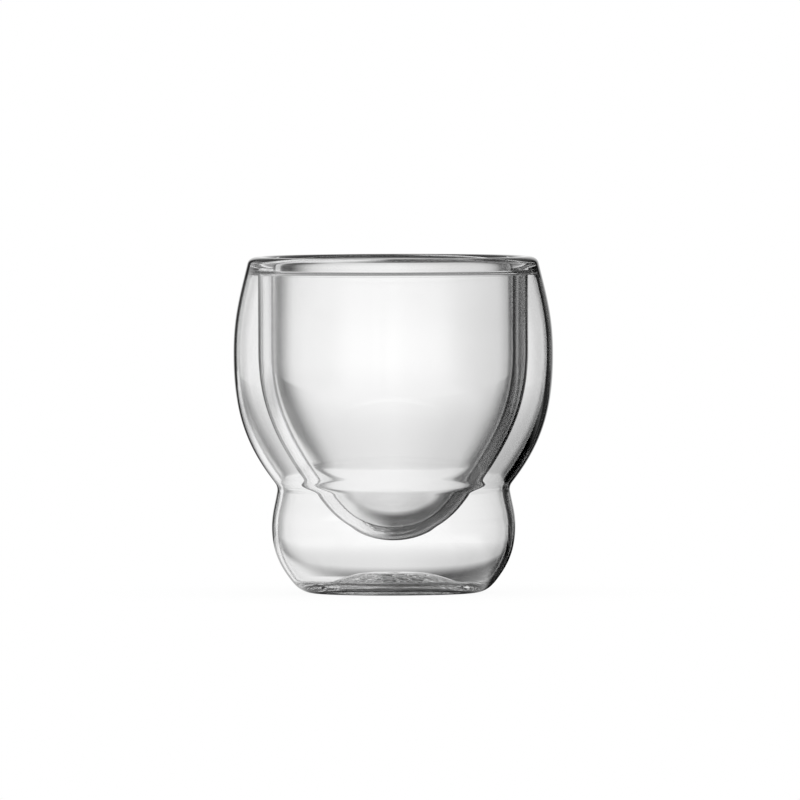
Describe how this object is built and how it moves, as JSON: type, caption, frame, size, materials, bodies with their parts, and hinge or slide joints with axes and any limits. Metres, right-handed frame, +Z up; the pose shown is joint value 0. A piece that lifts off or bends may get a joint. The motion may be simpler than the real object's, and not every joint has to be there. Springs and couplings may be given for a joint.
{
  "type": "double-walled espresso cup",
  "caption": "Clear double-walled espresso cup: a round-bottomed inner bowl hung by its fused rim in a waisted outer shell with a plugged vent in its base.",
  "frame": {"origin": "centre of the ring that the cup stands on, on the table plane", "axes": "+Z up along the cup's axis; the cup is turned, so X and Y are alike"},
  "size_m": [0.0662, 0.0662, 0.0698],
  "materials": {
    "bowl_glass": "clear borosilicate glass, fire-polished",
    "shell_glass": "clear borosilicate glass, blown",
    "plug_silicone": "milky translucent silicone"
  },
  "bodies": {
    "root": {"inner_bowl": "bowl_glass", "outer_shell": "shell_glass", "vent_plug": "plug_silicone"}
  },
  "joints": []
}
